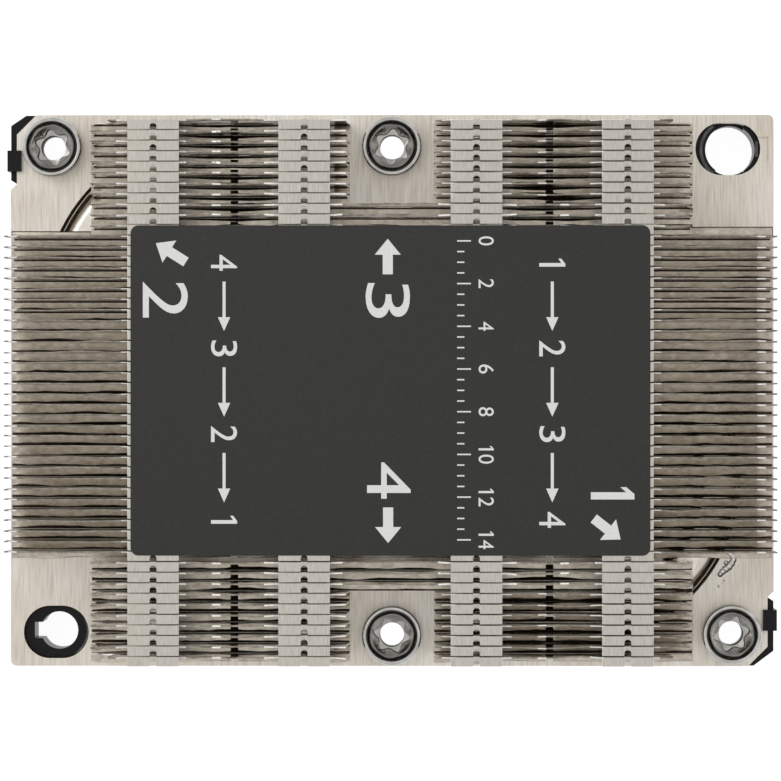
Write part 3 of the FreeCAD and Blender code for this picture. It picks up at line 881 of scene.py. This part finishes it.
# %% Label film
LABEL_TOP = 28.25 * MM
LABEL_WIDE, LABEL_DEEP = 71.6 * MM, 45.5 * MM
film = block("label_sheet", (0, 0, LABEL_TOP - 0.085 * MM), (LABEL_WIDE, LABEL_DEEP, 0.13 * MM))
bpy.ops.object.mode_set(mode="EDIT")
pick(film, lambda c: abs(abs(c.x) - LABEL_WIDE / 2) < 10 * HAIR and abs(abs(c.y) - LABEL_DEEP / 2) < 10 * HAIR)
bpy.ops.mesh.bevel(offset=1.1 * MM, segments=8)
bpy.ops.object.mode_set(mode="OBJECT")
rounded(film, 0.03, degrees=60)
smooth(film)
coated(film, label_film)
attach(film, "heatsink")
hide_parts("label")
print("label:", len(film.data.polygons), "faces")

# %% [markdown]
# ## The print
# The label tells in which order the nuts are tightened: a large number and an arrow beside each nut, the order as
# two rows of numbers, and a small torque scale. Numbers are text objects turned into meshes, and arrows are
# primitives. All of it reads downwards, so it is turned by a quarter turn.

# %% Ink helpers
ink = []
INK = 0.012 * MM


def inked(thing):
    """Lays a flat mesh on the film with a thin body."""
    for point in thing.data.vertices:
        point.co.z = LABEL_TOP - INK
    alone(thing)
    bpy.ops.object.mode_set(mode="EDIT")
    bpy.ops.mesh.select_all(action="SELECT")
    bpy.ops.mesh.dissolve_limited(angle_limit=0.01)
    bpy.ops.mesh.quads_convert_to_tris()
    bpy.ops.mesh.normals_make_consistent(inside=False)
    bpy.ops.object.mode_set(mode="OBJECT")
    modified(thing, "SOLIDIFY", thickness=INK, offset=1.0)
    alone(thing)
    bpy.ops.object.shade_flat()
    coated(thing, white_ink)
    ink.append(thing)


def flat_shape(points):
    """A flat mesh on a closed outline of (x, y) points in millimetres: a circle whose points are moved."""
    bpy.ops.object.select_all(action="DESELECT")
    bpy.ops.mesh.primitive_circle_add(vertices=len(points), radius=MM, fill_type="NGON")
    thing = started("shape")
    for point, (x, y) in zip(thing.data.vertices, points):
        point.co.x, point.co.y = x * MM, y * MM
    inked(thing)


def one_mark(x, y, tall, wide, stroke):
    """The number 1: an upright stroke with a short flag, laid out as number_mark lays its own."""
    left, right, top = -wide / 2, wide / 2, tall / 2
    slant = stroke * 0.75
    outline = [(right - stroke, -top), (right, -top), (right, top), (right - stroke * 0.75, top)]
    outline += [(left, top - slant * 1.5), (left, top - slant * 2.6), (right - stroke, top - slant * 1.5)]
    flat_shape([(x + rise, y - across) for across, rise in outline])


def number_mark(text, x, y, tall, wide):
    """A number whose middle is at x, y; tall runs along X and wide along -Y, in millimetres."""
    bpy.ops.object.select_all(action="DESELECT")
    bpy.ops.object.text_add()
    thing = bpy.context.active_object
    thing.data.body = text
    thing.data.resolution_u = 6
    bpy.ops.object.convert(target="MESH")
    thing = bpy.context.active_object
    xs = [p.co.x for p in thing.data.vertices]
    ys = [p.co.y for p in thing.data.vertices]
    mid_x, mid_y = (min(xs) + max(xs)) / 2, (min(ys) + max(ys)) / 2
    along, up = wide / (max(xs) - min(xs)), tall / (max(ys) - min(ys))
    for p in thing.data.vertices:
        across, rise = (p.co.x - mid_x) * along, (p.co.y - mid_y) * up
        p.co.x, p.co.y = (x + rise) * MM, (y - across) * MM
    inked(thing)


def arrow_mark(x, y, angle, length, shaft, head, head_length):
    """A block arrow whose tip is at x, y and points along the angle."""
    a = math.radians(angle)
    flat = [(0, 0), (-head_length, head / 2), (-head_length, shaft / 2), (-length, shaft / 2)]
    flat += [(px, -py) for px, py in flat[:0:-1]]
    flat_shape([(x + px * math.cos(a) - py * math.sin(a), y + px * math.sin(a) + py * math.cos(a))
                for px, py in flat])


print("ink helpers ready")

# %% Print the label
number_mark("2", -31.0, 12.5, 6.2, 4.9)
number_mark("3", -0.35, 12.4, 6.1, 4.8)
number_mark("4", -0.2, -12.4, 6.0, 5.0)
one_mark(30.6, -14.15, 6.0, 1.7, 1.0)
for x, y, angle, length in ((-32.3, 20.3, 148, 4.9), (-0.35, 20.9, 90, 4.9), (-0.3, -21.0, -90, 4.9),
                            (31.7, -20.5, -38, 4.7)):
    arrow_mark(x, y, angle, length, 1.4, 3.6, 2.2)
for x, order in ((-22.9, "4321"), (22.3, "1234")):
    for place, mark in enumerate(order):
        y = 17.6 - place * 11.8
        if mark == "1":
            one_mark(x, y, 3.6, 1.1, 0.5)
        else:
            number_mark(mark, x, y, 3.6, 2.2)
        if place < 3:
            arrow_mark(x, y - 9.4, -90, 6.8, 0.42, 1.7, 1.9)
TICKS_START, TICK_STEP, TICK_X, TICK_HALF, SCALE_X = 20.6, 1.47, 9.2, 0.1, 13.2
for step in range(0, 29):
    y = TICKS_START - step * TICK_STEP
    long_tick = step % 4 == 0
    half = 0.95 if long_tick else 0.5
    flat_shape([(TICK_X, y - TICK_HALF), (TICK_X + 2 * half, y - TICK_HALF),
                (TICK_X + 2 * half, y + TICK_HALF), (TICK_X, y + TICK_HALF)])
    if long_tick:
        mark = str(step // 2)
        if len(mark) == 2:
            one_mark(SCALE_X, y + 0.85, 2.1, 0.6, 0.3)
            number_mark(mark[1], SCALE_X, y - 0.65, 2.1, 1.25)
        else:
            number_mark(mark, SCALE_X, y, 2.1, 1.25)
print_piece = joined(ink, "label_print")
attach(print_piece, "heatsink")
print("print:", len(print_piece.data.polygons), "faces")

# %% [markdown]
# ## Stage, light and camera
# The floor is pale paper with a glow of its own, so that it stays bright under the part and through every hole and
# takes hardly any shadow. Light comes from a wide soft sky above, brighter overhead and to the left and right than
# in front and behind, which lets flat faces look pale and steep ones dark.

# %% Floor
bpy.ops.object.select_all(action="DESELECT")
bpy.ops.mesh.primitive_plane_add(size=6.0, location=(0, 0, -0.05 * MM))
floor = started("studio_floor")
paper, tree, shader = finish("white paper", Roughness=0.9)
shader.inputs["Base Color"].default_value = (0.3, 0.3, 0.3, 1)
shader.inputs["Emission Color"].default_value = (1, 1, 1, 1)
shader.inputs["Emission Strength"].default_value = 0.94
coated(floor, paper)

# %% Sky and lamps
world = bpy.data.worlds.new("studio sky")
scene.world = world
world.use_nodes = True
sky = world.node_tree
up = add(sky, "ShaderNodeSeparateXYZ", {"Vector": add(sky, "ShaderNodeTexCoord").outputs["Generated"]})
wide = add(sky, "ShaderNodeMapRange", {"Value": up.outputs["Z"], "From Min": 0.05, "From Max": 0.85,
                                      "To Min": 0.1, "To Max": 0.68})
near = add(sky, "ShaderNodeMapRange", {"Value": up.outputs["Z"], "From Min": 0.95, "From Max": 1.0,
                                      "To Min": 0.0, "To Max": 0.3})
glow = add(sky, "ShaderNodeMath", {0: wide.outputs[0], 1: near.outputs[0]}, operation="ADD")
side = add(sky, "ShaderNodeMath", {0: up.outputs["X"], 1: up.outputs["X"]}, operation="MULTIPLY")
both = add(sky, "ShaderNodeMath", {0: side.outputs[0], 1: 0.45, 2: glow.outputs[0]}, operation="MULTIPLY_ADD")
back = sky.nodes["Background"]
back.inputs["Color"].default_value = (1, 0.99, 0.975, 1)
sky.links.new(both.outputs[0], back.inputs["Strength"])

bpy.ops.object.select_all(action="DESELECT")
bpy.ops.object.light_add(type="AREA", location=(-0.35, 0.25, 0.55))
lamp = bpy.context.active_object
lamp.name = "soft key"
lamp.data.size = 0.4
lamp.data.energy = 0.5
lamp.rotation_euler = (-lamp.location).to_track_quat("-Z", "Y").to_euler()

# %% [markdown]
# The camera stands far above the base, 8 mm to one side, and leans back to the middle, so that the near fin tops
# look only a little larger than the base. Its lens follows from how wide a strip it sees at the base. Light has to
# bounce many times to reach the feet of the fins, so more bounces are allowed than usual.

# %% Camera
CAMERA_HEIGHT = 727
CAMERA_SIDE, CAMERA_AIM = 8.0, 8.2
HALF_VIEW = 55.29
SENSOR = 36
bpy.ops.object.camera_add(location=(CAMERA_SIDE * MM, 0, BASE_TOP + CAMERA_HEIGHT * MM))
camera = bpy.context.active_object
camera.rotation_euler = (0, math.atan(CAMERA_AIM / CAMERA_HEIGHT), 0)
camera.data.sensor_width = SENSOR
camera.data.lens = SENSOR / 2 / (HALF_VIEW / CAMERA_HEIGHT)
scene.camera = camera
scene.view_settings.view_transform = "Standard"
scene.cycles.max_bounces = 24
scene.cycles.glossy_bounces = 24
print("camera lens in mm:", round(camera.data.lens, 1))
